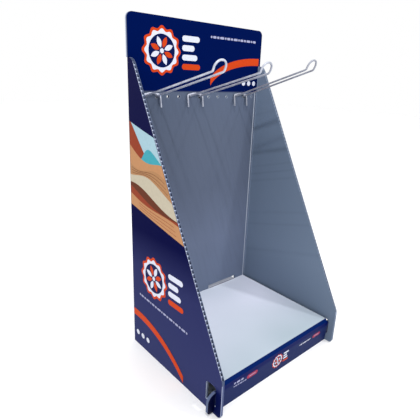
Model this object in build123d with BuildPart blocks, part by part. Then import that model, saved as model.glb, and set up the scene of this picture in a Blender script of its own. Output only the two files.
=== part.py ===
from build123d import *
from math import atan2, cos, radians, sin, tan
import os

# A counter display stand: one sheet of fluted plastic board folded into a tall back panel
# with two slanted wings, a second folded sheet as its floor and front, and three wire hooks.
# X runs across the stand, Y to the back, Z up. The origin is on the counter, in the middle
# of the stand's footprint. Lengths are in millimetres.

# Board
board = 4.0                # thickness of the fluted board
fold_inner = 1.5           # inside radius of a scored fold
fold_outer = 4.0           # outside radius of a scored fold
ease = 0.3                 # gap between pieces that rest on each other

# Flutes: upright channels between the board's two walls, open where a cut crosses them
flute_pitch = 2.7
flute_rib = 0.5            # thickness of the rib between two channels
flute_wall = 0.5           # thickness of each of the two walls
flute_depth = 7.0          # a channel is closed this far below the cut edge

# Back panel with its header
outer_width = 250.0        # across the outer faces of the two wings
stand_height = 480.0
header_height = 54.0       # the header stands this far above the wings
header_corner = 8.0        # radius of the header's two top corners

# Wings
wing_depth = 203.0         # from the panel's front face to the wings' front edge
wing_top_depth = 9.0       # length of the level top edge in front of the panel
wing_nose_height = 57.5    # height of the short upright front edge
wing_top_round = 14.0
wing_nose_round = 15.0
wing_toe_round = 6.0

# Row of holes for the hooks
hole_pitch = 19.0
hole_diameter = 4.4
hole_drop = 48.5           # the row lies this far below the wings' top
row_margin_left = 25.0     # from the stand's left side to the first hole
row_margin_right = 15.0    # the last hole stays at least this far from the right side

# Floor and front
tray_side_gap = 3.5        # between the floor and each wing's inner face
front_end_gap = 0.6        # the front is wider than the floor and stops this far from a wing
floor_height = 40.8        # top face of the floor
lip_setback = 9.7          # the front's foremost line lies this far behind the wings' edge
lip_drop = 3.5             # and this far below the floor
fold_run = 4.3             # from that line back to the floor's front end
foot_setback = 2.8         # the front leans back by this much down to the counter
tab_width = 65.0
tab_side_margin = 26.0     # from a wing's inner face to the nearer rear tab
tab_reach = 5.0            # how far a tab stands out behind the panel
tab_round = 2.0
slot_end_gap = 1.5         # play at each end of a tab in its slot
slot_height = 10.6

# Ears of the front, hooked through the wings
ear_reach = 12.0           # beyond the wing's outer face
ear_top = 34.3
ear_bottom = 3.5
ear_taper = 1.5            # the ear narrows by this much towards its lower end
ear_top_round = 11.0
ear_bottom_round = 5.0
sill_height = 12.5         # lower edge of the wing's opening
left_opening_height = 29.2
right_opening_height = 25.6
opening_length = 19.5
opening_round = 5.0

# Hooks
wire = 2.6                 # wire diameter
hook_length = 127.0        # level distance from the panel to the front bend
tip_half_width = 8.9       # between the middle and a strand, at the front bend
tip_bend = 4.0
tip_angle = 66.0           # the end stands up at this angle above level
tip_length = 13.6
loop_half_width = 10.6
loop_round = 9.0
rear_bend = 3.0
rear_gap = 2.7             # between the panel's back and the wire's upturned ends
rear_leg = 12.0
stay_half_width = 13.9
stay_leg = 17.5            # from the stay's shoulder to its foot
stay_lean = 8.0            # the feet stand forward by this angle
stay_arch = 2.6            # height of the arch above its shoulders
stay_shoulder_round = 3.5
stay_crown_round = 30.0
weld_depth = 0.3           # the stay sinks this far into the strands that it is welded to
wire_side_count = 8        # the round wire is drawn with this many flat sides
# Each hook rises towards the front and swings to the right by angles of its own
left_rise_angle = 14.7
left_swing_angle = 3.5
middle_rise_angle = 15.2
middle_swing_angle = 4.5
right_rise_angle = 18.3
right_swing_angle = 3.6

# Planes that several pieces share
rear_reach = board + rear_gap + wire
panel_front = (wing_depth - rear_reach) / 2
panel_back = panel_front + board
wing_front = panel_front - wing_depth
half_width = outer_width / 2
inner_half_width = half_width - board
front_plane = Plane.XZ.offset(-panel_front)      # local x across, local y up

# Heights and places that hang on the overall size
wing_top = stand_height - header_height
hole_height = wing_top - hole_drop
row_room = outer_width - row_margin_left - row_margin_right
hole_count = int(row_room / hole_pitch) + 1
hole_spots = [row_margin_left - half_width + hole_pitch * n for n in range(hole_count)]
tab_centre = inner_half_width - tab_side_margin - tab_width / 2

# The front of the tray leans back by this angle below its foremost line
lip_height = floor_height - lip_drop
lip_front = wing_front + lip_setback
floor_front = lip_front + fold_run
foot_front = lip_front + foot_setback
front_lean = atan2(foot_setback, lip_height)

os.makedirs("parts", exist_ok=True)


# Display shell: back panel, header and both wings, one folded sheet.
# Seen from the side each wing is a tall slanted blade
with BuildSketch(Plane.YZ) as wing_outline:
    with BuildLine():
        Polyline(
            (panel_back, 0),
            (wing_front, 0),
            (wing_front, wing_nose_height),
            (panel_front - wing_top_depth, wing_top),
            (panel_back, wing_top),
            close=True,
        )
    make_face()
    wing_corners = wing_outline.vertices()
    fillet(wing_corners.sort_by_distance((wing_front, 0))[0], wing_toe_round)
    wing_corners = wing_outline.vertices()
    fillet(wing_corners.sort_by_distance((wing_front, wing_nose_height))[0], wing_nose_round)
    wing_corners = wing_outline.vertices()
    fillet(
        wing_corners.sort_by_distance((panel_front - wing_top_depth, wing_top))[0],
        wing_top_round,
    )

with BuildPart() as display_shell:
    # Seen from above the folded sheet is a U, open to the front
    with BuildSketch() as plan:
        with Locations((0, panel_back)):
            Rectangle(outer_width, board + wing_depth, align=(Align.CENTER, Align.MAX))
        fillet(plan.vertices().group_by(Axis.Y)[-1], fold_outer)
        with Locations((0, panel_front)):
            RectangleRounded(
                2 * inner_half_width, 2 * wing_depth, fold_inner,
                align=(Align.CENTER, Align.MAX), mode=Mode.SUBTRACT,
            )
    extrude(amount=wing_top)

    # The slanted outline trims its two sides to the wings
    extrude(wing_outline.sketch, amount=half_width, both=True, mode=Mode.INTERSECT)

    # The header carries the panel on above the wings, with two rounded corners
    with BuildSketch(front_plane) as header:
        with Locations((0, wing_top)):
            Rectangle(outer_width, header_height, align=(Align.CENTER, Align.MIN))
        fillet(header.vertices().group_by(Axis.Y)[-1], header_corner)
    extrude(amount=-board)

    # Holes for the hooks
    with BuildSketch(front_plane):
        with Locations([(x, hole_height) for x in hole_spots]):
            Circle(hole_diameter / 2)
    extrude(amount=-board, mode=Mode.SUBTRACT)

    # Slots in the panel for the tray's rear tabs
    slot_floor = floor_height - board - ease
    with BuildSketch(front_plane):
        with Locations((tab_centre, slot_floor), (-tab_centre, slot_floor)):
            Rectangle(
                tab_width + 2 * slot_end_gap, slot_height, align=(Align.CENTER, Align.MIN)
            )
    extrude(amount=-board, mode=Mode.SUBTRACT)

    # Openings in the wings for the tray's ears, arched at the top
    opening_front = lip_front - ease
    for side_sign, opening_height in ((-1, left_opening_height), (1, right_opening_height)):
        with BuildSketch(Plane.YZ) as ear_opening:
            with Locations((opening_front, sill_height)):
                Rectangle(opening_length, opening_height, align=(Align.MIN, Align.MIN))
            fillet(ear_opening.vertices().group_by(Axis.Y)[-1], opening_round)
        extrude(amount=side_sign * half_width, mode=Mode.SUBTRACT)

    # The flutes run upright through the sheet, so the wings' slanted edges cut across them.
    # Each channel is a strip between the edge and the same edge moved down.
    channel_width = flute_pitch - flute_rib
    wing_channels = int((wing_depth - fold_outer) / flute_pitch)
    wing_middle = half_width - board / 2
    with BuildSketch(Plane.YZ.offset(wing_middle), Plane.YZ.offset(-wing_middle)):
        with Locations([
            (wing_front + flute_rib + flute_pitch * n, 0) for n in range(wing_channels)
        ]):
            Rectangle(channel_width, 2 * stand_height, align=(Align.MIN, Align.CENTER))
        add(wing_outline.sketch_local, mode=Mode.INTERSECT)
        with Locations((0, -flute_depth)):
            add(wing_outline.sketch_local, mode=Mode.SUBTRACT)
    extrude(amount=board / 2 - flute_wall, both=True, mode=Mode.SUBTRACT)

    # The header's top edge cuts across them too, between its rounded corners
    header_channels = int((outer_width - 2 * header_corner) / flute_pitch)
    first_channel = -flute_pitch * (header_channels - 1) / 2
    with BuildSketch(front_plane.offset(-board / 2)):
        with Locations([
            (first_channel + flute_pitch * n, stand_height) for n in range(header_channels)
        ]):
            Rectangle(channel_width, 2 * flute_depth)
    extrude(amount=board / 2 - flute_wall, both=True, mode=Mode.SUBTRACT)

display_shell.part.label = "display_shell"
export_step(display_shell.part, "parts/display_shell.step")


# Base tray: floor, front and its two ears, the second folded sheet
half_tray = inner_half_width - tray_side_gap
foot_board = board / cos(front_lean)
inner_lip_front = foot_front + foot_board - (floor_height - board) * tan(front_lean)

with BuildPart() as base_tray:
    # Side view: level floor, crushed fold, front leaning back to its foot
    with BuildSketch(Plane.YZ) as section:
        with BuildLine():
            Polyline(
                (panel_front - ease, floor_height),
                (floor_front, floor_height),
                (lip_front, lip_height),
                (foot_front, 0),
                (foot_front + foot_board, 0),
                (inner_lip_front, floor_height - board),
                (panel_front - ease, floor_height - board),
                close=True,
            )
        make_face()
    extrude(amount=half_tray, both=True)

    # Tabs through the panel
    with BuildSketch(Plane.XY.offset(floor_height - board)) as tabs:
        with Locations((tab_centre, panel_front - ease), (-tab_centre, panel_front - ease)):
            Rectangle(
                tab_width, ease + board + tab_reach, align=(Align.CENTER, Align.MIN)
            )
        fillet(tabs.vertices().group_by(Axis.Y)[-1], tab_round)
    extrude(amount=board)

    # Each end of the leaning front: it widens to the wing, a neck goes through the wing, and
    # an ear hangs down outside it
    ear_plane = Plane(
        origin=(0, foot_front, 0),
        x_dir=(1, 0, 0),
        z_dir=(0, -cos(front_lean), -sin(front_lean)),
    )
    ear_tip = half_width + ear_reach
    for side_sign in (1, -1):
        with BuildSketch(ear_plane) as ear:
            with BuildLine():
                Polyline(
                    (side_sign * (half_tray - board), 0),
                    (side_sign * (inner_half_width - front_end_gap), 0),
                    (side_sign * (inner_half_width - front_end_gap), sill_height + ease),
                    (side_sign * (half_width + ease), sill_height + ease),
                    (side_sign * (half_width + ease), ear_bottom),
                    (side_sign * (ear_tip - ear_taper), ear_bottom),
                    (side_sign * ear_tip, ear_top),
                    (side_sign * (half_tray - board), ear_top),
                    close=True,
                )
            make_face()
            fillet(
                ear.vertices().sort_by_distance((side_sign * ear_tip, ear_top))[0],
                ear_top_round,
            )
            fillet(
                ear.vertices().sort_by_distance((side_sign * ear_tip, ear_bottom))[0],
                ear_bottom_round,
            )
        extrude(amount=-board)

base_tray.part.label = "base_tray"
export_step(base_tray.part, "parts/base_tray.step")


# Hooks: a hairpin of wire through two holes, with a stay welded across it
panel_middle = panel_front + board / 2
rear_wire = panel_back + rear_gap + wire / 2
stay_plane_y = panel_front - ease - wire / 2

# One hook at each end of the row, short of the last hole, and one left of its middle
hook_settings = [
    ("hook_left", 0, left_rise_angle, left_swing_angle),
    ("hook_middle", (hole_count - 1) // 2 - 1, middle_rise_angle, middle_swing_angle),
    ("hook_right", hole_count - 3, right_rise_angle, right_swing_angle),
]

for hook_name, first_hole, rise_angle, swing_angle in hook_settings:
    rise = radians(rise_angle)
    swing = radians(swing_angle)
    turn_up = radians(tip_angle)
    forward = Vector(sin(swing) * cos(rise), -cos(swing) * cos(rise), sin(rise))
    upward = Vector(sin(swing) * cos(turn_up), -cos(swing) * cos(turn_up), sin(turn_up))
    across = Vector(cos(swing), sin(swing), 0)
    middle_x = hole_spots[first_hole] + hole_pitch / 2
    hole_centre = Vector(middle_x, panel_middle, hole_height)
    strand_length = (hook_length + board / 2) / cos(rise)
    back_length = (rear_wire - panel_middle) / (cos(rise) * cos(swing))
    tip = hole_centre + forward * strand_length

    with BuildPart() as hook:
        # The hairpin runs up behind the panel, through a hole, out to the raised tip,
        # round its loop and back
        left_points = []
        right_points = []
        for points, side_sign in ((left_points, -1), (right_points, 1)):
            rear = hole_centre - forward * back_length + Vector(side_sign * hole_pitch / 2, 0, 0)
            points.append(rear + Vector(0, 0, rear_leg))
            points.append(rear)
            points.append(tip + across * (side_sign * tip_half_width))
            points.append(tip + upward * tip_length + across * (side_sign * loop_half_width))
        hairpin_points = left_points + right_points[::-1]
        with BuildLine() as hairpin:
            FilletPolyline(
                *hairpin_points,
                radius=[rear_bend, tip_bend, loop_round, loop_round, tip_bend, rear_bend],
            )
        with BuildSketch(hairpin.line ^ 0):
            RegularPolygon(wire / 2, wire_side_count)
        sweep(path=hairpin.line)

        # The stay straddles the strands just in front of the panel
        lean = radians(stay_lean)
        strand_y = stay_plane_y - stay_arch * sin(lean)
        strand_z = hole_height + (panel_middle - strand_y) * tan(rise)
        contact_z = strand_z + (wire - weld_depth) / cos(rise)
        arch_slope = stay_arch / stay_half_width
        shoulder_z = contact_z - (stay_half_width - hole_pitch / 2) * arch_slope
        stay_plane = Plane(
            origin=(middle_x, strand_y, shoulder_z),
            x_dir=(1, 0, 0),
            z_dir=(0, -cos(lean), sin(lean)),
        )
        with BuildLine(stay_plane) as stay:
            FilletPolyline(
                (-stay_half_width, -stay_leg),
                (-stay_half_width, 0),
                (0, stay_arch),
                (stay_half_width, 0),
                (stay_half_width, -stay_leg),
                radius=[stay_shoulder_round, stay_crown_round, stay_shoulder_round],
            )
        with BuildSketch(stay.line ^ 0):
            RegularPolygon(wire / 2, wire_side_count)
        sweep(path=stay.line)

    hook.part.label = hook_name
    export_step(hook.part, f"parts/{hook_name}.step")
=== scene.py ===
import bpy
import bmesh
import numpy as np
from mathutils import Matrix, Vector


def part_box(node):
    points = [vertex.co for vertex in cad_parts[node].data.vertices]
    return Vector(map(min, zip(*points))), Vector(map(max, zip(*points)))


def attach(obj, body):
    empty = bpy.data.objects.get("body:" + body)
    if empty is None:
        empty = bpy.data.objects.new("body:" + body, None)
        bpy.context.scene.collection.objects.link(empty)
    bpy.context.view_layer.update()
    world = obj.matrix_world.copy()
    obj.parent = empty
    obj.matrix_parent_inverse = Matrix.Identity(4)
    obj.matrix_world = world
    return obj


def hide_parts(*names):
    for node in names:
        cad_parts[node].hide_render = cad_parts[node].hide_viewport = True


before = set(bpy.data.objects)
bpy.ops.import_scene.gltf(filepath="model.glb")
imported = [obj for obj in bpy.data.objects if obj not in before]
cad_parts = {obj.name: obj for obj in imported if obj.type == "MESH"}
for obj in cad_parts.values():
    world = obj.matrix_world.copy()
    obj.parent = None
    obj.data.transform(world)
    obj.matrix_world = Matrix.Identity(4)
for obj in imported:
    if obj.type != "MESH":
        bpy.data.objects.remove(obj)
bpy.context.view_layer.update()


# Display shell. The real piece is one sheet of 4 mm fluted polypropylene, scored and folded
# into a tall panel with a header and two slanted wings. Its outer side and the header are
# printed in dark blue; its inner side is the bare grey-blue board; its cut edges are pale.
board = 0.004
flute_pitch = 0.0027
shell_low, shell_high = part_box("display_shell")
half_width = shell_high.x
inner_half_width = half_width - board
panel_back = shell_high.y
panel_front = panel_back - board
wing_front = shell_low.y
stand_height = shell_high.z
wing_top = 0.426
print_line = 0.3845          # lower edge of the header's print
hole_row = 0.3775
hole_pitch = 0.019
first_hole = -0.100
crease_offset = 0.0041       # the whitened score lies this far inside the wing's inner face
slant_foot = np.array([wing_front, 0.0575])
slant_head = np.array([panel_front - 0.009, wing_top])
channel_foot = 0.0505        # the wings' open channels start above this height
channel_depth = 0.0072       # depth of the open channels in the header's top edge
header_corner = 0.0078       # the header's round corners take up this much of its top edge
face_margin = 0.0003         # a point this close to a face still counts as lying on it


def linear(code):
    """Linear RGBA of an sRGB hex value: v/12.92 below 0.04045, else ((v + 0.055)/1.055)^2.4."""
    srgb = np.array([int(code[i:i + 2], 16) for i in (1, 3, 5)]) / 255
    rgb = np.where(srgb <= 0.04045, srgb / 12.92, ((srgb + 0.055) / 1.055) ** 2.4)
    return (*map(float, rgb), 1.0)


def add(material, kind, inputs=None, ramp=None, **settings):
    """Adds one node to a material, sets its properties, its ramp stops and its inputs."""
    tree = material.node_tree
    node = tree.nodes.new(kind)
    for key, value in settings.items():
        setattr(node, key, value)
    for key, value in (inputs or {}).items():
        if isinstance(value, bpy.types.NodeSocket):
            tree.links.new(value, node.inputs[key])
        else:
            node.inputs[key].default_value = value
    for number, (position, colour) in enumerate(ramp or []):
        stops = node.color_ramp.elements
        stop = stops[number] if number < 2 else stops.new(position)
        stop.position = position
        stop.color = colour
    return node


def new_material(name):
    """A material with a Principled shader and nothing else; returns it and the shader."""
    material = bpy.data.materials.new(name)
    material.use_nodes = True
    return material, material.node_tree.nodes["Principled BSDF"]


# Polypropylene is waxy and scatters light softly, so it shows no sharp reflections. The flutes
# show through both walls as faint upright lines.
shell_board, shell_shader = new_material("printed_fluted_polypropylene")
place = add(shell_board, "ShaderNodeTexCoord").outputs["Object"]
x, y, z = add(shell_board, "ShaderNodeSeparateXYZ", {0: place}).outputs

# How deep a point lies in the board, from 0 on the inner side to 1 on the outer side
across = add(shell_board, "ShaderNodeMath", {0: x}, operation="ABSOLUTE").outputs[0]
past_wing = add(shell_board, "ShaderNodeMath", {0: across, 1: inner_half_width},
                operation="SUBTRACT").outputs[0]
past_wing = add(shell_board, "ShaderNodeMath", {0: past_wing, 1: 0.0},
                operation="MAXIMUM").outputs[0]
below_header = add(shell_board, "ShaderNodeMath", {0: z, 1: wing_top},
                   operation="LESS_THAN").outputs[0]
past_wing = add(shell_board, "ShaderNodeMath", {0: past_wing, 1: below_header},
                operation="MULTIPLY").outputs[0]
past_panel = add(shell_board, "ShaderNodeMath", {0: y, 1: panel_front},
                 operation="SUBTRACT").outputs[0]
past_panel = add(shell_board, "ShaderNodeMath", {0: past_panel, 1: 0.0},
                 operation="MAXIMUM").outputs[0]
corner = add(shell_board, "ShaderNodeCombineXYZ", {0: past_wing, 1: past_panel}).outputs[0]
depth = add(shell_board, "ShaderNodeVectorMath", {0: corner}, operation="LENGTH").outputs["Value"]
depth = add(shell_board, "ShaderNodeMath", {0: depth, 1: board}, operation="DIVIDE").outputs[0]
outer_side = add(shell_board, "ShaderNodeMath", {0: depth, 1: 0.97},
                 operation="GREATER_THAN").outputs[0]
off_inner = add(shell_board, "ShaderNodeMath", {0: depth, 1: 0.03},
                operation="GREATER_THAN").outputs[0]
cut_edge = add(shell_board, "ShaderNodeMath", {0: off_inner, 1: outer_side},
               operation="SUBTRACT").outputs[0]

# The header's print covers the panel's front above a level line, with a soft edge
fringe = 0.0015              # half width of that soft edge
on_panel = add(shell_board, "ShaderNodeMath", {0: y, 1: panel_front - face_margin},
               operation="GREATER_THAN").outputs[0]
above_line = add(shell_board, "ShaderNodeMapRange",
                 {"Value": z, "From Min": print_line - fringe, "From Max": print_line + fringe},
                 interpolation_type="SMOOTHSTEP").outputs[0]
header_print = add(shell_board, "ShaderNodeMath", {0: on_panel, 1: above_line},
                   operation="MULTIPLY").outputs[0]
printed = add(shell_board, "ShaderNodeMath", {0: header_print, 1: outer_side},
              operation="MAXIMUM").outputs[0]

# Bare board on the panel: faint slanting dark streaks, 6 mm wide and 80 mm long, are painted
# shadows of the hooks; painted shade makes it a little darker towards the top and the left, and
# painted light a little lighter towards the right
shadow_streak_place = add(shell_board, "ShaderNodeMapping", {
    "Vector": place,
    "Rotation": (0.0, np.radians(-18), 0.0),
    "Scale": (0.006, 1.0, 0.08),
}, vector_type="TEXTURE").outputs[0]
# painted shadows: soft slanting streaks like those the hooks throw
shadow_streaks = add(shell_board, "ShaderNodeTexNoise",
             {"Vector": shadow_streak_place, "Scale": 1.0, "Detail": 2.0, "Roughness": 0.55}).outputs[0]
shadow_streaks = add(shell_board, "ShaderNodeMapRange",
             {"Value": shadow_streaks, "From Min": 0.36, "From Max": 0.5, "To Min": 0.97, "To Max": 1.0},
             interpolation_type="SMOOTHSTEP").outputs[0]
# painted shade: darker towards the top
panel_tone = add(shell_board, "ShaderNodeMapRange",
                 {"Value": z, "From Min": 0.04, "From Max": 0.385}).outputs[0]
panel_tone = add(shell_board, "ShaderNodeValToRGB", {0: panel_tone}, ramp=[
    (0.0, linear("#6a758b")), (1.0, linear("#545e72")), (0.28, linear("#6a748b")),
    (0.55, linear("#5b6478")), (0.8, linear("#576073")),
]).outputs[0]
# painted light and shade: darker on the left, lighter on the right
painted_side_light = add(shell_board, "ShaderNodeMapRange", {
    "Value": x, "From Min": -0.12, "From Max": 0.12, "To Min": 0.88, "To Max": 1.16,
}).outputs[0]
panel_tone = add(shell_board, "ShaderNodeMix", {0: 1.0, 6: panel_tone, 7: painted_side_light},
                 data_type="RGBA", blend_type="MULTIPLY").outputs[2]
panel_bare = add(shell_board, "ShaderNodeMix", {0: 1.0, 6: panel_tone, 7: shadow_streaks},
                 data_type="RGBA", blend_type="MULTIPLY").outputs[2]

# Bare board on the wings: painted shadows, soft darker bands that rise towards the front, broken
# every 70 mm or so. Each band has its height where it meets the panel, its half width and its tone.
band_angle = np.radians(15)
band_slope = np.tan(band_angle)
bands_low, bands_high = 0.08, 0.38
shadow_band_stops = [(0.0, (1.0, 1.0, 1.0, 1.0)), (1.0, (1.0, 1.0, 1.0, 1.0))]
for height, half_band, tone in (
        (0.097, 0.006, 0.93), (0.148, 0.004, 0.93), (0.170, 0.005, 0.94), (0.230, 0.004, 0.93),
        (0.243, 0.003, 0.90), (0.256, 0.003, 0.93), (0.280, 0.006, 0.78), (0.325, 0.006, 0.84),
        (0.347, 0.004, 0.94)):
    for reach, shade in ((-half_band, 1.0), (0.0, tone), (half_band, 1.0)):
        share = (height + reach - bands_low) / (bands_high - bands_low)
        shadow_band_stops.append((share, (shade, shade, shade, 1.0)))
shadow_band_place = add(shell_board, "ShaderNodeMath", {0: y, 1: band_slope, 2: z},
                 operation="MULTIPLY_ADD").outputs[0]
shadow_band_place = add(shell_board, "ShaderNodeMath", {0: shadow_band_place, 1: -panel_front * band_slope},
                 operation="ADD").outputs[0]
shadow_band_share = add(shell_board, "ShaderNodeMapRange",
                 {"Value": shadow_band_place, "From Min": bands_low, "From Max": bands_high}).outputs[0]
painted_shadow_bands = add(shell_board, "ShaderNodeValToRGB", {0: shadow_band_share}, ramp=shadow_band_stops).outputs[0]
shadow_band_breaks = add(shell_board, "ShaderNodeMapping", {
    "Vector": place,
    "Rotation": (-band_angle, 0.0, 0.0),
    "Scale": (1.0, 0.07, 0.012),
}, vector_type="TEXTURE").outputs[0]
shadow_band_breaks = add(shell_board, "ShaderNodeTexNoise",
                  {"Vector": shadow_band_breaks, "Scale": 1.0, "Detail": 2.0}).outputs[0]
shadow_band_breaks = add(shell_board, "ShaderNodeMapRange", {
    "Value": shadow_band_breaks, "From Min": 0.3, "From Max": 0.5, "To Min": 0.6,
}).outputs[0]
painted_shadow_bands = add(shell_board, "ShaderNodeMix",
            {0: shadow_band_breaks, 6: (1.0, 1.0, 1.0, 1.0), 7: painted_shadow_bands}, data_type="RGBA").outputs[2]
wing_tone = add(shell_board, "ShaderNodeMapRange",
                {"Value": z, "From Min": 0.0, "From Max": 0.42}).outputs[0]
wing_tone = add(shell_board, "ShaderNodeValToRGB", {0: wing_tone}, ramp=[
    (0.0, linear("#667488")), (1.0, linear("#75859c")), (0.3, linear("#758499")),
    (0.7, linear("#6a798e")),
]).outputs[0]
# the painted shadow bands darken the wings' bare board
wing_bare = add(shell_board, "ShaderNodeMix", {0: 1.0, 6: wing_tone, 7: painted_shadow_bands},
                data_type="RGBA", blend_type="MULTIPLY").outputs[2]
bare = add(shell_board, "ShaderNodeMix", {0: on_panel, 6: wing_bare, 7: panel_bare},
           data_type="RGBA").outputs[2]

# The score beside each wing is whitened, as stressed plastic is, for 0.4 mm to each side, fading
# by 0.9 mm; round each hole a painted highlight reaches up to 3.1 mm from its centre
score_distance = add(shell_board, "ShaderNodeMath",
                     {0: across, 1: inner_half_width - crease_offset},
                     operation="SUBTRACT").outputs[0]
score_distance = add(shell_board, "ShaderNodeMath", {0: score_distance},
                     operation="ABSOLUTE").outputs[0]
score = add(shell_board, "ShaderNodeMapRange",
            {"Value": score_distance, "From Min": 0.0004, "From Max": 0.0009,
             "To Min": 1.0, "To Max": 0.0}).outputs[0]
from_hole = add(shell_board, "ShaderNodeMath", {0: x, 1: first_hole - hole_pitch / 2},
                operation="SUBTRACT").outputs[0]
from_hole = add(shell_board, "ShaderNodeMath", {0: from_hole, 1: hole_pitch},
                operation="FLOORED_MODULO").outputs[0]
from_hole = add(shell_board, "ShaderNodeMath", {0: from_hole, 1: hole_pitch / 2},
                operation="SUBTRACT").outputs[0]
from_row = add(shell_board, "ShaderNodeMath", {0: z, 1: hole_row},
               operation="SUBTRACT").outputs[0]
from_centre = add(shell_board, "ShaderNodeCombineXYZ", {0: from_hole, 2: from_row}).outputs[0]
hole_distance = add(shell_board, "ShaderNodeVectorMath", {0: from_centre},
                    operation="LENGTH").outputs["Value"]
# painted highlight: a pale ring round each hole
rim_highlight = add(shell_board, "ShaderNodeMapRange",
          {"Value": hole_distance, "From Min": 0.0022, "From Max": 0.0031,
           "To Min": 0.2, "To Max": 0.0}).outputs[0]
score_white_and_rim_highlight = add(shell_board, "ShaderNodeMath", {0: score, 1: rim_highlight}, operation="MAXIMUM").outputs[0]
score_white_and_rim_highlight = add(shell_board, "ShaderNodeMath", {0: score_white_and_rim_highlight, 1: on_panel},
               operation="MULTIPLY").outputs[0]
board_with_score_and_highlight = add(shell_board, "ShaderNodeMix", {0: score_white_and_rim_highlight, 6: bare, 7: linear("#cfd6e2")},
               data_type="RGBA").outputs[2]

# The printed film: deep blue on the header's front, more violet on the outer side, and paler
# towards its foot, which is painted light, as bounced up from the white floor
film_with_painted_light = add(shell_board, "ShaderNodeMapRange",
                {"Value": z, "From Min": 0.0, "From Max": 0.42}).outputs[0]
# painted light: the film is paler towards its foot
film_with_painted_light = add(shell_board, "ShaderNodeValToRGB", {0: film_with_painted_light}, ramp=[
    (0.0, linear("#343963")), (1.0, linear("#17183f")), (0.33, linear("#2b2f5a")),
    (0.47, linear("#070a3a")),
]).outputs[0]

# Beside each ear the film is darker, in an oval spot that is taller than it is wide
ear_squeeze = 0.6            # the spot's width over its height
ear_spot = (0.0, -0.0985, ear_squeeze * 0.020)
from_ear = add(shell_board, "ShaderNodeVectorMath", {0: place, 1: (0.0, 1.0, ear_squeeze)},
               operation="MULTIPLY").outputs[0]
from_ear = add(shell_board, "ShaderNodeVectorMath", {0: from_ear, 1: ear_spot},
               operation="DISTANCE").outputs["Value"]
near_ear = add(shell_board, "ShaderNodeMapRange",
               {"Value": from_ear, "From Min": 0.009, "From Max": 0.016},
               interpolation_type="SMOOTHSTEP").outputs[0]
film_with_painted_light = add(shell_board, "ShaderNodeMix", {0: near_ear, 6: linear("#0b1344"), 7: film_with_painted_light},
                data_type="RGBA").outputs[2]
header_front = add(shell_board, "ShaderNodeMath", {0: header_print, 1: outer_side},
                   operation="SUBTRACT", use_clamp=True).outputs[0]
film = add(shell_board, "ShaderNodeMix", {0: header_front, 6: film_with_painted_light, 7: linear("#001047")},
           data_type="RGBA").outputs[2]
inked = add(shell_board, "ShaderNodeMix", {0: printed, 6: board_with_score_and_highlight, 7: film},
            data_type="RGBA").outputs[2]

# Cut edges: the outer wall and the ribs' ends are pale, partly their own cut colour and partly
# painted light, and the inner wall is the colour of the bare board. The channels behind them are
# painted shade, dark on the left side, and painted light, pale on the right.
slant = slant_head - slant_foot
slant = slant / np.linalg.norm(slant)
off_slant = add(shell_board, "ShaderNodeVectorMath", {0: place, 1: (0.0, -slant[1], slant[0])},
                operation="DOT_PRODUCT").outputs["Value"]
slant_place = -slant[1] * slant_foot[0] + slant[0] * slant_foot[1]
below_slant = add(shell_board, "ShaderNodeMath", {0: off_slant, 1: slant_place - face_margin},
                  operation="LESS_THAN").outputs[0]
above_nose = add(shell_board, "ShaderNodeMath", {0: z, 1: channel_foot},
                 operation="GREATER_THAN").outputs[0]
in_wing = add(shell_board, "ShaderNodeMath", {0: below_slant, 1: above_nose},
              operation="MULTIPLY").outputs[0]
in_wing = add(shell_board, "ShaderNodeMath", {0: in_wing, 1: below_header},
              operation="MULTIPLY").outputs[0]
below_top = add(shell_board, "ShaderNodeMath", {0: z, 1: stand_height - face_margin},
                operation="LESS_THAN").outputs[0]
near_top = add(shell_board, "ShaderNodeMath", {0: z, 1: stand_height - channel_depth},
               operation="GREATER_THAN").outputs[0]
off_corner = add(shell_board, "ShaderNodeMath", {0: across, 1: half_width - header_corner},
                 operation="LESS_THAN").outputs[0]
in_header = add(shell_board, "ShaderNodeMath", {0: below_top, 1: near_top},
                operation="MULTIPLY").outputs[0]
in_header = add(shell_board, "ShaderNodeMath", {0: in_header, 1: off_corner},
                operation="MULTIPLY").outputs[0]
in_channel = add(shell_board, "ShaderNodeMath", {0: in_wing, 1: in_header},
                 operation="MAXIMUM").outputs[0]
edge_tone = add(shell_board, "ShaderNodeValToRGB", {0: depth}, ramp=[
    (0.0, linear("#566076")), (1.0, linear("#a9b2c8")), (0.3, linear("#5a647b")),
    (0.5, linear("#77829c")), (0.75, linear("#b9c1d4")),
]).outputs[0]

# The wings' upright noses are darker than the slants, and the right wing's edge is one tone
nose_depth = 0.0012          # how far back from the wing's front the nose's tone reaches
on_nose = add(shell_board, "ShaderNodeMath", {0: y, 1: wing_front + nose_depth},
              operation="LESS_THAN").outputs[0]
nose_tone = add(shell_board, "ShaderNodeValToRGB", {0: depth}, ramp=[
    (0.6, linear("#4d5679")), (0.85, linear("#9ea6c0")),
]).outputs[0]
edge_tone = add(shell_board, "ShaderNodeMix", {0: on_nose, 6: edge_tone, 7: nose_tone},
                data_type="RGBA").outputs[2]
left_side = add(shell_board, "ShaderNodeMath", {0: x, 1: 0.0}, operation="LESS_THAN").outputs[0]
edge_tone = add(shell_board, "ShaderNodeMix", {0: left_side, 6: linear("#6c788c"), 7: edge_tone},
                data_type="RGBA").outputs[2]
# painted shade in the left channels, painted light in the right ones
channel_painted_shading = add(shell_board, "ShaderNodeMix",
                   {0: left_side, 6: linear("#8590a4"), 7: linear("#4d566f")},
                   data_type="RGBA").outputs[2]
edge = add(shell_board, "ShaderNodeMix", {0: in_channel, 6: edge_tone, 7: channel_painted_shading},
           data_type="RGBA").outputs[2]
coloured = add(shell_board, "ShaderNodeMix", {0: cut_edge, 6: inked, 7: edge},
               data_type="RGBA").outputs[2]

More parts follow.
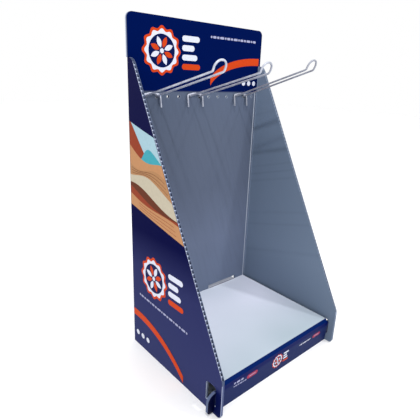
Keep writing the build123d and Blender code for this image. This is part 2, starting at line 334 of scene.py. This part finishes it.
# The ribs show as faint upright lines, 2.7 mm apart, across the panel and along the wings
along_board = add(shell_board, "ShaderNodeMix", {0: on_panel, 2: y, 3: x},
                  data_type="FLOAT").outputs[0]
flute_phase = add(shell_board, "ShaderNodeMath", {0: along_board, 1: 2 * np.pi / flute_pitch},
                  operation="MULTIPLY").outputs[0]
flute_wave = add(shell_board, "ShaderNodeMath", {0: flute_phase}, operation="SINE").outputs[0]
flute_lines = add(shell_board, "ShaderNodeBump",
                  {"Height": flute_wave, "Strength": 0.4, "Distance": 0.00003}).outputs[0]
sheen = add(shell_board, "ShaderNodeMix", {0: printed, 2: 0.5, 3: 0.38},
            data_type="FLOAT").outputs[0]
shell_board.node_tree.links.new(coloured, shell_shader.inputs["Base Color"])
shell_board.node_tree.links.new(sheen, shell_shader.inputs["Roughness"])
shell_board.node_tree.links.new(flute_lines, shell_shader.inputs["Normal"])
shell_shader.inputs["IOR"].default_value = 1.49
shell_shader.inputs["Specular IOR Level"].default_value = 0.006

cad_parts["display_shell"].data.materials.clear()
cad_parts["display_shell"].data.materials.append(shell_board)


# Prints on the shell. The real ones are flat screen-printed inks on the board's blue ground.
# Here they are generic motifs in the same colours and of the same size: a rosette with bars, a
# broken rule, a curved orange band and a landscape of layered waves.
ink_lift = 0.00005           # thickness of an ink layer
layer_step = 0.000008        # each later shape lies this much higher
rule_height = 0.0033
sweep_half = 0.0055          # half width of the curved orange band


def ink(name, code):
    """Satin screen ink: a flat colour with the faint unevenness of a printed film, in clouds of
    about 3 mm."""
    material, shader = new_material(name)
    spot = add(material, "ShaderNodeTexCoord").outputs["Object"]
    grain = add(material, "ShaderNodeTexNoise",
                {"Vector": spot, "Scale": 300.0, "Detail": 3.0}).outputs[0]
    tone = add(material, "ShaderNodeMapRange",
               {"Value": grain, "To Min": 0.90, "To Max": 1.08}).outputs[0]
    colour = add(material, "ShaderNodeMix", {0: 1.0, 6: linear(code), 7: tone},
                 data_type="RGBA", blend_type="MULTIPLY").outputs[2]
    material.node_tree.links.new(colour, shader.inputs["Base Color"])
    shader.inputs["Roughness"].default_value = 0.38
    shader.inputs["Specular IOR Level"].default_value = 0.04
    return material


INKS = {
    "orange": ink("orange_ink", "#c23f14"),
    "white": ink("white_ink", "#cfd3e2"),
    "blue": ink("blue_ink", "#001047"),
    "grey": ink("grey_ink", "#9a9dbd"),
    "red": ink("red_ink", "#9c3450"),
    "tan": ink("tan_ink", "#b5845c"),
    "wood": ink("wood_ink", "#a87c56"),
    "cream": ink("cream_ink", "#b9b09c"),
    "brown": ink("brown_ink", "#5f2f1d"),
    "rust": ink("rust_ink", "#8a3a22"),
    "teal": ink("teal_ink", "#3f9aa8"),
    "mist": ink("mist_ink", "#9dbcc8"),
}


def disc(centre, radius, steps=13, scallop=0.0, lobes=12):
    """Filled circle: (u, v) of a square goes to (u sqrt(1 - v²/2), v sqrt(1 - u²/2)), then each
    point moves out by scallop times cos(lobes times its angle), less towards the middle."""
    u, v = np.meshgrid(np.linspace(-1, 1, steps), np.linspace(-1, 1, steps), indexing="ij")
    a = u * np.sqrt(1 - v**2 / 2)
    b = v * np.sqrt(1 - u**2 / 2)
    swell = 1 + scallop * (a**2 + b**2) ** 2 * np.cos(lobes * np.arctan2(b, a))
    return np.stack([centre[0] + radius * a * swell, centre[1] + radius * b * swell], axis=-1)


def capsule(centre, length, height, steps=12):
    """Bar with round ends: a disc of the bar's height, its two halves pulled apart along it."""
    points = disc((0.0, 0.0), height / 2, steps)
    points[..., 0] += np.sign(points[..., 0]) * (length - height) / 2
    return points + np.array(centre)


def petal(centre, angle, near, far, width, steps=13):
    """Leaf on a ray at an angle: its half width is width (1 - s²), s from -1 near to 1 far."""
    s, side = np.meshgrid(np.linspace(-1, 1, steps), (-1.0, 1.0), indexing="ij")
    along = (near + far) / 2 + s * (far - near) / 2
    aside = side * width * (1 - s**2)
    return np.stack([centre[0] + along * np.cos(angle) - aside * np.sin(angle),
                     centre[1] + along * np.sin(angle) + aside * np.cos(angle)], axis=-1)


def between(a, low, high):
    """Strip between two curves: b runs from low(a) to high(a) at each a."""
    return np.stack([np.stack([a, a], axis=-1), np.stack([low, high], axis=-1)], axis=-1)


def print_piece(name, shapes, lay):
    """One print: each (ink, grid of flat points) becomes quads; lay puts a and b on the board."""
    points, quads, inks = [], [], []
    start = 0
    for layer, (colour, grid) in enumerate(shapes):
        rows, columns = grid.shape[:2]
        number = start + np.arange(rows * columns).reshape(rows, columns)
        cells = np.stack([number[:-1, :-1], number[1:, :-1], number[1:, 1:], number[:-1, 1:]],
                         axis=-1)
        lift = ink_lift + layer_step * layer
        points.append(lay(grid[..., 0], grid[..., 1], lift).reshape(-1, 3))
        quads.append(cells.reshape(-1, 4))
        inks += [list(INKS).index(colour)] * quads[-1].shape[0]
        start += rows * columns
    mesh = bpy.data.meshes.new(name)
    mesh.from_pydata(np.concatenate(points).tolist(), [], np.concatenate(quads).tolist())
    for material in INKS.values():
        mesh.materials.append(material)
    mesh.polygons.foreach_set("material_index", inks)
    mesh.update()
    piece = bpy.data.objects.new(name, mesh)
    bpy.context.scene.collection.objects.link(piece)
    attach(piece, "root")
    return piece


def emblem(centre, size, way=1):
    """Rosette with four bars beside it, fitted to a width of size; way -1 puts the bars left."""
    radius = 0.29 * size
    middle = np.array([centre[0] - way * 0.21 * size, centre[1]])
    shapes = [
        ("orange", disc(middle, 1.12 * radius, 37, 0.06)),
        ("white", disc(middle, 0.98 * radius, 37, 0.06)),
        ("blue", disc(middle, 0.80 * radius, 17)),
    ]
    for turn in range(8):
        angle = turn * np.pi / 4 + np.pi / 8
        colour = ("white", "orange")[turn % 2]
        shapes.append((colour, petal(middle, angle, 0.16 * radius, 0.72 * radius, 0.13 * radius)))
    shapes.append(("white", disc(middle, 0.12 * radius, 7)))
    for row, (colour, reach) in enumerate((
            ("white", 0.34), ("white", 0.24), ("white", 0.30), ("orange", 0.36))):
        spot = (middle[0] + way * (1.28 * radius + reach * size / 2),
                centre[1] + (1.5 - row) * 0.135 * size)
        shapes.append((colour, capsule(spot, reach * size, 0.085 * size)))
    return shapes


def broken_rule(start, end, height, colour):
    """Row of bars from start towards end, 1 to 2.6 heights long in turn and 0.4 heights apart."""
    lengths = height * np.tile([1.0, 2.0, 1.4, 2.6], 12)
    heads = np.concatenate([[0.0], np.cumsum(lengths + 0.4 * height)])[:-1]
    start, end = np.array(start), np.array(end)
    span = np.linalg.norm(end - start)
    kept = heads + lengths < span
    shapes = []
    for head, length in zip(heads[kept], lengths[kept]):
        spot = start + (end - start) * (head + length / 2) / span
        shapes.append((colour, capsule(spot, length, height, 6)))
    return shapes


def on_header(a, b, lift):
    """a runs across, b up, in front of the panel."""
    return np.stack([a, np.full_like(a, panel_front) - lift, b], axis=-1)


header_shapes = emblem((-0.053, 0.437), 0.092)
header_shapes += broken_rule((0.014, 0.462), (0.112, 0.462), rule_height, "grey")

# The orange band is a quarter of an ellipse that ends at the header's right edge
sweep_end, sweep_width, sweep_foot, sweep_rise = 0.1205, 0.108, 0.388, 0.044
sweep_x = np.linspace(0.016, sweep_end, 40)
sweep_z = sweep_foot + sweep_rise * np.sqrt(1 - ((sweep_end - sweep_x) / sweep_width) ** 2)
header_shapes.append(("orange", between(
    sweep_x, np.maximum(sweep_z - sweep_half, print_line + 0.001), sweep_z + sweep_half)))
header_shapes += [("white", disc((spot, 0.3985), 0.0038, 7)) for spot in (0.088, 0.100, 0.112)]
print_piece("header_print", header_shapes, on_header)


def wing_edge(height):
    """Place of the wing's front edge at a height: straight from the slant's foot to its head."""
    share = np.clip((height - slant_foot[1]) / (slant_head[1] - slant_foot[1]), 0.0, 1.0)
    return slant_foot[0] + share * (slant_head[0] - slant_foot[0])


def wave_strip(low, high, start=0.0, end=1.0):
    """Part of a layer between two wave curves, from the wing's front edge at 0 to its back at 1."""
    share, rise = np.meshgrid(np.linspace(start, end, 33), np.linspace(0, 1, 4), indexing="ij")
    foot = np.interp(share, wave_share, low)
    head = np.interp(share, wave_share, high)
    height = foot + rise * (head - foot)
    front = wing_edge(height) + front_gap
    return np.stack([front + share * (panel_back - back_gap - front), height], axis=-1)


# Heights of the wave curves, which part the landscape's layers: equal shares of the way from its
# foot to its head, with a swing that dies out at both
front_gap, back_gap = 0.0006, 0.004      # bare margins before and behind the landscape
furrow_half = 0.0003                     # half width of a thin line along a layer
wave_share = np.linspace(0.0, 1.0, 61)
wave_foot = 0.2065 + 0.0245 * wave_share
wave_head = 0.3310 + 0.0155 * wave_share
waves = []
for number, share in enumerate((0.0, 0.15, 0.20, 0.26, 0.42, 0.56, 0.70, 1.0)):
    swing = 0.0075 * np.sin(np.pi * (1.5 * wave_share + 0.45 * number)) * np.sin(np.pi * share)
    waves.append(wave_foot + share * (wave_head - wave_foot) + swing)
landscape = [(colour, wave_strip(low, high)) for colour, low, high in zip(
    ("tan", "rust", "brown", "cream", "wood", "tan", "mist"), waves[:-1], waves[1:])]
for share in (0.25, 0.5, 0.75):
    furrow = waves[4] + share * (waves[5] - waves[4])
    landscape.append(("brown", wave_strip(furrow - furrow_half, furrow + furrow_half, 0.05, 0.95)))
    furrow = waves[0] + share * (waves[1] - waves[0])
    landscape.append(("rust", wave_strip(furrow - furrow_half, furrow + furrow_half, 0.1, 0.8)))

# Two hills stand in the top layer: one climbs to the back, one is a low dome at the front
hill_start, dome_end = 0.42, 0.62
climb = np.clip(1.15 * (wave_share - hill_start) / (1 - hill_start), 0, 1) ** 0.7
hill = waves[6] + (waves[7] - waves[6]) * climb
landscape.append(("rust", wave_strip(waves[6], np.minimum(hill, waves[7]), hill_start, 1.0)))
dome = 0.45 * np.clip(np.sin(np.pi * wave_share / dome_end), 0, 1)
landscape.append(("teal", wave_strip(waves[6], waves[6] + dome * (waves[7] - waves[6]),
                                     0.0, dome_end)))


def wing_shapes(way):
    """Everything printed on one wing; way is -1 where the viewer sees the stand's back on the
    left. The orange band follows a circle, z = centre + sqrt(radius² - (y - centre)²)."""
    shapes = landscape + emblem((0.021, 0.134), 0.094, way)
    shapes += broken_rule((0.079, 0.093), (-0.040, 0.087), rule_height, "grey")
    arc_radius, arc_middle = 0.176, (0.090, -0.120)
    arc_y = np.linspace(-0.030, panel_back - 0.0045, 40)
    arc_z = arc_middle[1] + np.sqrt(arc_radius**2 - (arc_y - arc_middle[0]) ** 2)
    shapes.append(("orange", between(arc_y, np.maximum(arc_z - sweep_half, 0.0015),
                                     np.maximum(arc_z + sweep_half, 0.0016))))
    shapes += [("white", disc((spot, 0.022), 0.0042, 7)) for spot in (0.086, 0.072, 0.058)]
    return shapes


def on_left_wing(a, b, lift):
    """a runs to the back, b up, outside the left wing."""
    return np.stack([np.full_like(a, -half_width) - lift, a, b], axis=-1)


def on_right_wing(a, b, lift):
    """a runs to the back, b up, outside the right wing."""
    return np.stack([np.full_like(a, half_width) + lift, a, b], axis=-1)


# Seen from outside, the left wing's y runs the other way round, so its grids are turned
left_shapes = [(colour, grid[::-1]) for colour, grid in wing_shapes(-1)]
print_piece("left_wing_print", left_shapes, on_left_wing)
print_piece("right_wing_print", wing_shapes(1), on_right_wing)


# Base tray. The real piece is a second sheet of the same board, white on its upper side and
# printed dark blue on its front. Its front fold is crushed and shows as a deep blue band; its
# ears go through the wings.
floor_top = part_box("base_tray")[1].z
lip_height = floor_top - 0.0035          # where the fold meets the leaning front
side_gap = 0.0034                        # from the floor's side edges to the wings
tab_start, tab_end = 0.0295, 0.0945      # each rear tab's inner and outer edge
lip_depth, foot_depth, floor_depth = 0.1933, 0.1905, 0.1890      # all before the panel's front
foot_front = panel_front - foot_depth
lean_slope = (lip_depth - foot_depth) / lip_height

# The white side is a smooth gloss film, so the floor mirrors its surroundings a little
tray_board, tray_shader = new_material("white_fluted_polypropylene")
place = add(tray_board, "ShaderNodeTexCoord").outputs["Object"]
x, y, z = add(tray_board, "ShaderNodeSeparateXYZ", {0: place}).outputs
across = add(tray_board, "ShaderNodeMath", {0: x}, operation="ABSOLUTE").outputs[0]
leaned = add(tray_board, "ShaderNodeMath", {0: z, 1: lean_slope, 2: y},
             operation="MULTIPLY_ADD").outputs[0]
on_front = add(tray_board, "ShaderNodeMath", {0: leaned, 1: foot_front + 0.0002},
               operation="LESS_THAN").outputs[0]
on_ear = add(tray_board, "ShaderNodeMath", {0: across, 1: half_width},
             operation="GREATER_THAN").outputs[0]
past_floor = add(tray_board, "ShaderNodeMath", {0: y, 1: panel_front - floor_depth - 0.0001},
                 operation="LESS_THAN").outputs[0]
above_lip = add(tray_board, "ShaderNodeMath", {0: z, 1: lip_height},
                operation="GREATER_THAN").outputs[0]
painted_gap_shade = add(tray_board, "ShaderNodeMath", {0: across, 1: inner_half_width - side_gap},
                   operation="GREATER_THAN").outputs[0]
not_ear = add(tray_board, "ShaderNodeMath", {0: 1.0, 1: on_ear}, operation="SUBTRACT").outputs[0]
painted_gap_shade = add(tray_board, "ShaderNodeMath", {0: painted_gap_shade, 1: not_ear},
                   operation="MULTIPLY").outputs[0]
on_fold = add(tray_board, "ShaderNodeMath", {0: past_floor, 1: above_lip},
              operation="MULTIPLY").outputs[0]
facing = add(tray_board, "ShaderNodeNewGeometry").outputs["Normal"]
facing = add(tray_board, "ShaderNodeSeparateXYZ", {0: facing}).outputs
on_top = add(tray_board, "ShaderNodeMath", {0: facing[2], 1: 0.9},
             operation="GREATER_THAN").outputs[0]
under = add(tray_board, "ShaderNodeMath", {0: facing[2], 1: -0.9},
            operation="LESS_THAN").outputs[0]
inside = add(tray_board, "ShaderNodeMath", {0: facing[1], 1: 0.9},
             operation="GREATER_THAN").outputs[0]
level = add(tray_board, "ShaderNodeMath", {0: on_top, 1: under}, operation="ADD").outputs[0]
level = add(tray_board, "ShaderNodeMath", {0: level, 1: on_ear},
            operation="SUBTRACT", use_clamp=True).outputs[0]
flat = add(tray_board, "ShaderNodeMath", {0: level, 1: inside}, operation="ADD").outputs[0]

# The floor's white is painted lighter towards the back, painted light against the shade of the
# panel and wings; it leans to violet at the back and right, and is greyer at the front and left,
# with a drift over about 140 mm
drift = add(tray_board, "ShaderNodeTexNoise",
            {"Vector": place, "Scale": 7.0, "Detail": 1.0}).outputs[0]
# painted light: the floor's white is lighter towards the back
drift = add(tray_board, "ShaderNodeMath", {0: y, 1: -2.2, 2: drift},
            operation="MULTIPLY_ADD").outputs[0]
drift = add(tray_board, "ShaderNodeMath", {0: x, 1: -0.9, 2: drift},
            operation="MULTIPLY_ADD").outputs[0]
white = add(tray_board, "ShaderNodeValToRGB", {0: drift}, ramp=[
    (0.15, linear("#e4e7f6")), (0.85, linear("#aebcc6")),
]).outputs[0]

# Where each rear tab goes through the panel it has painted shade: a dark line at the slot with a
# greyed strip behind it
tab_painted_shade = add(tray_board, "ShaderNodeMapRange",
                 {"Value": y, "From Min": panel_front - 0.0014, "From Max": panel_front + 0.0012},
                 ).outputs[0]
tab_painted_shade = add(tray_board, "ShaderNodeValToRGB", {0: tab_painted_shade}, ramp=[
    (0.0, (0, 0, 0, 1)), (1.0, (0.45, 0.45, 0.45, 1)), (0.35, (0.95, 0.95, 0.95, 1)),
    (0.7, (1, 1, 1, 1)),
]).outputs[0]
tab_inner = add(tray_board, "ShaderNodeMath", {0: across, 1: tab_start},
                operation="GREATER_THAN").outputs[0]
tab_outer = add(tray_board, "ShaderNodeMath", {0: across, 1: tab_end},
                operation="LESS_THAN").outputs[0]
tab_painted_shade = add(tray_board, "ShaderNodeMath", {0: tab_painted_shade, 1: tab_inner},
                 operation="MULTIPLY").outputs[0]
tab_painted_shade = add(tray_board, "ShaderNodeMath", {0: tab_painted_shade, 1: tab_outer},
                 operation="MULTIPLY").outputs[0]
# painted shade on the rear tabs
floor_with_tab_shade = add(tray_board, "ShaderNodeMix", {0: tab_painted_shade, 6: white, 7: linear("#4c4658")},
              data_type="RGBA").outputs[2]

# Cut edges are grey-blue and darker on the ears; the ends of the front, in the gaps beside the
# floor, are painted near black as shade
cut_tone = add(tray_board, "ShaderNodeMix",
               {0: on_ear, 6: linear("#8793b2"), 7: linear("#56617f")},
               data_type="RGBA").outputs[2]
cut = add(tray_board, "ShaderNodeMix", {0: flat, 6: cut_tone, 7: floor_with_tab_shade},
          data_type="RGBA").outputs[2]
# painted shade: near black in the gaps beside the floor
cut = add(tray_board, "ShaderNodeMix", {0: painted_gap_shade, 6: cut, 7: linear("#1b2444")},
          data_type="RGBA").outputs[2]

# The front's print is a deeper blue next to the fold and paler and greyer below it, which is a
# painted reflection of the white floor; the ears' print is almost black
near_fold = add(tray_board, "ShaderNodeMapRange",
                {"Value": z, "From Min": 0.0265, "From Max": 0.0325},
                interpolation_type="SMOOTHSTEP").outputs[0]
# painted reflection: the print is paler and greyer away from the fold
front_ink_and_painted_reflection = add(tray_board, "ShaderNodeMix",
                {0: near_fold, 6: linear("#1a2654"), 7: linear("#000f50")},
                data_type="RGBA").outputs[2]
front_ink_and_painted_reflection = add(tray_board, "ShaderNodeMix", {0: on_ear, 6: front_ink_and_painted_reflection, 7: linear("#000326")},
                data_type="RGBA").outputs[2]
fronted = add(tray_board, "ShaderNodeMix", {0: on_front, 6: cut, 7: front_ink_and_painted_reflection},
              data_type="RGBA").outputs[2]
folded = add(tray_board, "ShaderNodeMix", {0: on_fold, 6: fronted, 7: linear("#001b55")},
             data_type="RGBA").outputs[2]
gloss = add(tray_board, "ShaderNodeMix", {0: on_top, 2: 0.4, 3: 0.16},
            data_type="FLOAT").outputs[0]
tray_board.node_tree.links.new(folded, tray_shader.inputs["Base Color"])
tray_board.node_tree.links.new(gloss, tray_shader.inputs["Roughness"])
tray_shader.inputs["IOR"].default_value = 1.49
tray_shader.inputs["Specular IOR Level"].default_value = 0.03
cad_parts["base_tray"].data.materials.clear()
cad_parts["base_tray"].data.materials.append(tray_board)


def on_front_face(a, b, lift):
    """a runs across, b up, in front of the leaning front."""
    return np.stack([a, foot_front - lean_slope * b - lift, b], axis=-1)


# On the front, from left to right: two rules, a badge, a rosette, a rule and another badge
front_shapes = broken_rule((-0.093, 0.0300), (-0.067, 0.0290), 0.0034, "grey")
front_shapes += broken_rule((-0.093, 0.0248), (-0.067, 0.0238), 0.0020, "grey")
front_shapes += [("red", capsule((-0.058, 0.0265), 0.021, 0.0066, 8)),
                 ("grey", capsule((-0.058, 0.0265), 0.013, 0.0012, 6))]
front_shapes += emblem((0.003, 0.0205), 0.034)
front_shapes += broken_rule((0.047, 0.0232), (0.078, 0.0232), 0.0020, "white")
front_shapes += [("red", capsule((0.090, 0.0235), 0.020, 0.0058, 8)),
                 ("grey", capsule((0.090, 0.0235), 0.012, 0.0012, 6))]
print_piece("front_print", front_shapes, on_front_face)


# Hooks. Each is one length of 2.6 mm spring-steel wire bent into a hairpin, with a stay of the
# same wire resistance-welded across its strands, and then bright zinc plated.
wire_radius = 0.0013
hook_reach = 0.129                       # from the panel's middle to the loop's foot, level
loop_foot, loop_head = 0.0089, 0.0106    # the turned-up loop's half width at its foot and head
loop_rise = 0.0136                       # the loop's length, up its slope
rear_rise = 0.012                        # the two upturned ends behind the panel
stay_gap, rear_gap = 0.0003, 0.0027      # from the board to the stay's wire and the rear ends'
stay_half, stay_leg, stay_arch = 0.0139, 0.0175, 0.0026      # half width, leg and arch's height
stay_lift = 0.0023                       # the arch over the strands, less than 2 radii: welded
bead_lift = 0.0012
hook_wire, wire_shader = new_material("zinc_plated_wire")

# Bright zinc is a pale blue-white metal, blurred by pits of under a millimetre, with a cloudy
# bloom about 8 mm across; the hooks further right are darker
spot = add(hook_wire, "ShaderNodeTexCoord").outputs["Object"]
bloom = add(hook_wire, "ShaderNodeTexNoise",
            {"Vector": spot, "Scale": 120.0, "Detail": 3.0}).outputs[0]
zinc = add(hook_wire, "ShaderNodeValToRGB", {0: bloom}, ramp=[
    (0.35, linear("#a8acbc")), (0.65, linear("#c4c8d5")),
]).outputs[0]
# the zinc's colour is darker towards the right
darker_to_right = add(hook_wire, "ShaderNodeSeparateXYZ", {0: spot}).outputs[0]
darker_to_right = add(hook_wire, "ShaderNodeMapRange", {
    "Value": darker_to_right, "From Min": -0.08, "From Max": 0.11, "To Min": 1.04, "To Max": 0.66,
}).outputs[0]
zinc = add(hook_wire, "ShaderNodeMix", {0: 1.0, 6: zinc, 7: darker_to_right},
           data_type="RGBA", blend_type="MULTIPLY").outputs[2]
dulling = add(hook_wire, "ShaderNodeMapRange",
              {"Value": bloom, "To Min": 0.38, "To Max": 0.52}).outputs[0]
pits = add(hook_wire, "ShaderNodeTexNoise",
           {"Vector": spot, "Scale": 1400.0, "Detail": 2.0}).outputs[0]
pits = add(hook_wire, "ShaderNodeBump",
           {"Height": pits, "Strength": 0.2, "Distance": 0.00005}).outputs[0]
hook_wire.node_tree.links.new(zinc, wire_shader.inputs["Base Color"])
hook_wire.node_tree.links.new(dulling, wire_shader.inputs["Roughness"])
hook_wire.node_tree.links.new(pits, wire_shader.inputs["Normal"])
wire_shader.inputs["Metallic"].default_value = 0.45


def rounded(points, radii, steps=9):
    """Path through points with arcs at its corners: an arc begins radius · tan(turn/2) before its
    corner and bends inwards from there, start + radius (sin t · along + (1 - cos t) · inward)."""
    points = np.array(points, dtype=float)
    path = [points[:1]]
    for before, here, after, radius in zip(points[:-2], points[1:-1], points[2:], radii):
        along = (here - before) / np.linalg.norm(here - before)
        leaving = (after - here) / np.linalg.norm(after - here)
        turn = np.arccos(np.clip(along @ leaving, -1, 1))
        inward = leaving - along * (along @ leaving)
        inward /= np.linalg.norm(inward)
        t = np.linspace(0, turn, steps)[:, None]
        start = here - along * radius * np.tan(turn / 2)
        path.append(start + radius * (np.sin(t) * along + (1 - np.cos(t)) * inward))
    path.append(points[-1:])
    return np.concatenate(path)


def wire_tube(path, reference, sides=20):
    """Round wire: at each station a circle radius (cos t · n + sin t · b), where n is square to the
    path and to a fixed reference, and b to both; the last stations draw in to close the ends."""
    steps = np.diff(path, axis=0)
    steps /= np.linalg.norm(steps, axis=1)[:, None]
    tangent = np.concatenate([steps[:1], steps[:-1] + steps[1:], steps[-1:]])
    tangent /= np.linalg.norm(tangent, axis=1)[:, None]
    inset = 0.3 * wire_radius
    stations = np.concatenate([path[:1], path[:1], path[:1] + inset * tangent[:1], path[1:-1],
                               path[-1:] - inset * tangent[-1:], path[-1:], path[-1:]])
    tangent = np.concatenate([tangent[:1], tangent[:1], tangent, tangent[-1:], tangent[-1:]])
    size = np.full(len(stations), wire_radius)
    size[[0, -1]] = 0.0
    size[[1, -2]] = 0.72 * wire_radius
    n = np.cross(tangent, reference)
    n /= np.linalg.norm(n, axis=1)[:, None]
    b = np.cross(tangent, n)
    t = np.linspace(0, 2 * np.pi, sides, endpoint=False)[None, :, None]
    circle = np.cos(t) * n[:, None] + np.sin(t) * b[:, None]
    return stations[:, None] + size[:, None, None] * circle


def weld_bead(centre, along, over, reach=(0.0021, 0.0019, 0.0011)):
    """Squeezed-out weld metal: an ellipsoid, centre + sin p (cos t · along + sin t · aside)
    + cos p · over, each axis with its own reach."""
    aside = np.cross(over, along)
    p, t = np.meshgrid(np.linspace(0, np.pi, 9), np.linspace(0, 2 * np.pi, 16, endpoint=False),
                       indexing="ij")
    p, t = p[..., None], t[..., None]
    return (centre + reach[0] * np.sin(p) * np.cos(t) * along
            + reach[1] * np.sin(p) * np.sin(t) * aside + reach[2] * np.cos(p) * over)


def closed_mesh(name, grids):
    """Joins grids that close round their second direction into one mesh and merges their poles."""
    points, quads = [], []
    start = 0
    for grid in grids:
        rows, columns = grid.shape[:2]
        number = start + np.arange(rows * columns).reshape(rows, columns)
        beside = np.roll(number, -1, axis=1)
        cells = np.stack([number[:-1], beside[:-1], beside[1:], number[1:]], axis=-1)
        points.append(grid.reshape(-1, 3))
        quads.append(cells.reshape(-1, 4))
        start += rows * columns
    mesh = bpy.data.meshes.new(name)
    mesh.from_pydata(np.concatenate(points).tolist(), [], np.concatenate(quads).tolist())
    shell = bmesh.new()
    shell.from_mesh(mesh)
    bmesh.ops.remove_doubles(shell, verts=shell.verts, dist=1e-7)
    bmesh.ops.recalc_face_normals(shell, faces=shell.faces)
    shell.to_mesh(mesh)
    shell.free()
    mesh.polygons.foreach_set("use_smooth", [True] * len(mesh.polygons))
    return mesh


# Each hook has its first hole, counted from the left, and its own rise and swing in degrees
stay_front = panel_front - stay_gap - wire_radius
rear_wire = panel_back + rear_gap + wire_radius
panel_middle = panel_front + board / 2
for hook_name, hole, rise, swing in (
        ("hook_left", 0, 14.7, 3.5), ("hook_middle", 4, 15.2, 4.5), ("hook_right", 9, 18.3, 3.6)):
    rise, swing, turn_up = np.radians([rise, swing, 66.0])
    forward, upward = [
        np.array([np.sin(swing) * np.cos(pitch), -np.cos(swing) * np.cos(pitch), np.sin(pitch)])
        for pitch in (rise, turn_up)]
    aside = np.array([np.cos(swing), np.sin(swing), 0.0])
    middle_x = first_hole + hole_pitch * hole + hole_pitch / 2
    hole_centre = np.array([middle_x, panel_middle, hole_row])
    rear_end = hole_centre - forward * (rear_wire - panel_middle) / (np.cos(rise) * np.cos(swing))
    tip = hole_centre + forward * hook_reach / np.cos(rise)

    # The hairpin, from one upturned end behind the panel round the loop to the other
    half = np.array([hole_pitch / 2, 0.0, 0.0])
    strand = [[rear_end + side * half + (0, 0, rear_rise), rear_end + side * half,
               tip + side * loop_foot * aside,
               tip + upward * loop_rise + side * loop_head * aside]
              for side in (-1, 1)]
    hairpin = rounded(strand[0] + strand[1][::-1], (0.003, 0.004, 0.009, 0.009, 0.004, 0.003))

    # The stay's arch lies on the strands, sunk in by the weld, and its legs hang slightly forward
    lean = np.radians(8.0)
    stay_y = stay_front - stay_arch * np.sin(lean)
    strand_z = hole_row + (panel_middle - stay_y) * np.tan(rise)
    arch_drop = (stay_half - hole_pitch / 2) * stay_arch / stay_half
    shoulder_z = strand_z + stay_lift / np.cos(rise) - arch_drop
    stay = [middle_x, stay_y, shoulder_z] + np.array([
        (-stay_half, -stay_leg), (-stay_half, 0), (0, stay_arch),
        (stay_half, 0), (stay_half, -stay_leg),
    ]) @ np.array([[1, 0, 0], [0, np.sin(lean), np.cos(lean)]])
    stay_path = rounded(stay, (0.0035, 0.03, 0.0035))

    crosswise, up = np.array([1.0, 0.0, 0.0]), np.array([0.0, 0.0, 1.0])
    crossing = np.array([middle_x, stay_y, strand_z + bead_lift])
    beads = [weld_bead(crossing + side * half, crosswise, up) for side in (-1, 1)]
    mesh = closed_mesh(hook_name + "_wire", [
        wire_tube(hairpin, (0.6, 0.75, 0.3)), wire_tube(stay_path, (0.0, 1.0, 0.1)), *beads])
    mesh.materials.append(hook_wire)
    piece = bpy.data.objects.new(hook_name + "_wire", mesh)
    bpy.context.scene.collection.objects.link(piece)
    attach(piece, "root")
    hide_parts(hook_name)


# Studio: a white floor that runs out of sight, a white surround and two soft lights from above,
# left and right, which throw the hooks' shadows down the panel.
floor_mesh = bpy.data.meshes.new("studio_floor")
floor_mesh.from_pydata([(-6, -6, 0), (6, -6, 0), (6, 6, 0), (-6, 6, 0)], [], [(0, 1, 2, 3)])
studio_floor = bpy.data.objects.new("studio_floor", floor_mesh)
bpy.context.scene.collection.objects.link(studio_floor)
paper, paper_shader = new_material("backdrop_paper")
paper_shader.inputs["Base Color"].default_value = linear("#fefefe")
paper_shader.inputs["Roughness"].default_value = 0.9
floor_mesh.materials.append(paper)

surround = bpy.data.worlds.new("surround")
surround.use_nodes = True
surround.node_tree.nodes["Background"].inputs["Color"].default_value = linear("#ffffff")
surround.node_tree.nodes["Background"].inputs["Strength"].default_value = 1.0
bpy.context.scene.world = surround


def soft_light(name, place_at, aim, size, power):
    """A square area light at place_at that faces aim."""
    lamp = bpy.data.lights.new(name, "AREA")
    lamp.size = size
    lamp.energy = power
    light = bpy.data.objects.new(name, lamp)
    back = (np.array(place_at) - np.array(aim)).astype(float)
    back /= np.linalg.norm(back)
    side = np.cross((0.0, 0.0, 1.0), back)
    side /= np.linalg.norm(side)
    over = np.cross(back, side)
    turned = np.eye(4)
    turned[:3, :3] = np.stack([side, over, back], axis=1)
    turned[:3, 3] = place_at
    light.matrix_world = Matrix(turned.tolist())
    bpy.context.scene.collection.objects.link(light)


soft_light("high_left_light", (-0.75, -0.85, 2.3), (0.0, 0.0, 0.2), 0.1, 22)
soft_light("high_right_light", (0.75, -0.95, 2.2), (0.0, 0.0, 0.2), 0.12, 12)


# Camera at the photograph's viewpoint: its columns are right, up, back and place, fitted to the
# object's straight edges and corners.
camera_data = bpy.data.cameras.new("camera")
camera_data.sensor_width = 36.0
camera_data.lens = 33.95
camera = bpy.data.objects.new("camera", camera_data)
camera_axes = np.eye(4)
camera_axes[:3, 0] = (0.75443, -0.65539, 0.03598)
camera_axes[:3, 1] = (0.17957, 0.25881, 0.94909)
camera_axes[:3, 2] = (-0.63134, -0.70956, 0.31294)
camera_axes[:3, 3] = (-0.39951, -0.38073, 0.40266)
camera.matrix_world = Matrix(camera_axes.tolist())
bpy.context.scene.collection.objects.link(camera)
bpy.context.scene.camera = camera
bpy.context.scene.view_settings.view_transform = "Standard"
